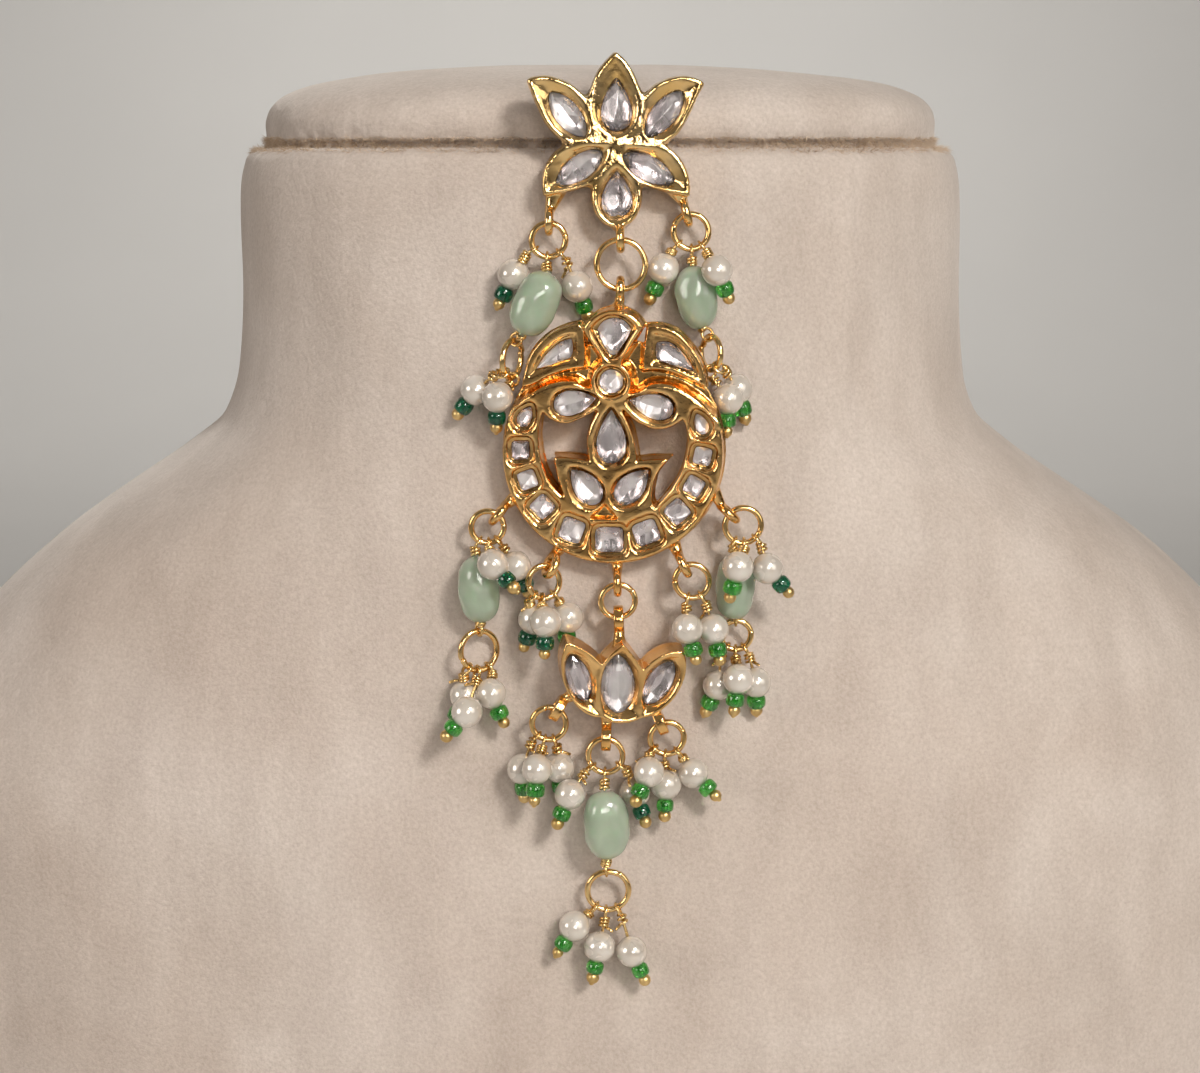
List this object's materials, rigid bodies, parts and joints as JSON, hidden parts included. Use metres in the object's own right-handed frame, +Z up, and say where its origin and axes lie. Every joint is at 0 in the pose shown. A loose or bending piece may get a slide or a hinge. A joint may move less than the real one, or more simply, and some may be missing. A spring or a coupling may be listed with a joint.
{
  "type": "tassel earring on a neck bust",
  "caption": "Long tassel earring of a petal stud, round crescent and lotus drop with clear stones, mint beads and pearl bunches, pinned to a flared velvet neck bust.",
  "frame": {"origin": "centre of the bust's flat base", "axes": "+Z up, the front with the earring faces -Y, +X is the right of the front view"},
  "size_m": [0.232, 0.1199, 0.2068],
  "materials": {
    "velvet": "brushed cream velvet",
    "gold": "polished, gold-plated",
    "clear_stone": "clear, foil-backed",
    "mint_stone": "translucent, tumbled",
    "pearl": "pearly gloss"
  },
  "bodies": {
    "root": {"neck_bust": "velvet", "stud_frame": "gold", "crescent_frame": "gold", "lotus_frame": "gold", "stud_stone_1": "clear_stone", "stud_stone_2": "clear_stone", "stud_stone_3": "clear_stone", "stud_stone_4": "clear_stone", "stud_stone_5": "clear_stone", "stud_stone_6": "clear_stone", "crescent_stone_1": "clear_stone", "crescent_stone_2": "clear_stone", "crescent_stone_3": "clear_stone", "crescent_stone_4": "clear_stone", "crescent_stone_5": "clear_stone", "crescent_stone_6": "clear_stone", "crescent_stone_7": "clear_stone", "crescent_stone_8": "clear_stone", "crescent_stone_9": "clear_stone", "ring_stones": "clear_stone", "lotus_stone_1": "clear_stone", "lotus_stone_2": "clear_stone", "lotus_stone_3": "clear_stone", "mint_bead_1": "mint_stone", "mint_bead_2": "mint_stone", "mint_bead_3": "mint_stone", "mint_bead_4": "mint_stone", "mint_bead_5": "mint_stone", "ring_1": "gold", "ring_2": "gold", "ring_3": "gold", "ring_4": "gold", "ring_5": "gold", "ring_6": "gold", "ring_7": "gold", "ring_8": "gold", "ring_9": "gold", "ring_10": "gold", "ring_11": "gold", "ring_12": "gold", "ring_13": "gold", "ring_14": "gold", "ring_15": "gold", "ring_16": "gold", "tassel_1": "pearl", "tassel_2": "pearl", "tassel_3": "pearl", "tassel_4": "pearl", "tassel_5": "pearl", "tassel_6": "pearl", "tassel_7": "pearl", "tassel_8": "pearl", "tassel_9": "pearl", "tassel_10": "pearl", "tassel_11": "pearl", "tassel_12": "pearl", "tassel_13": "pearl", "tassel_14": "pearl"}
  },
  "joints": []
}
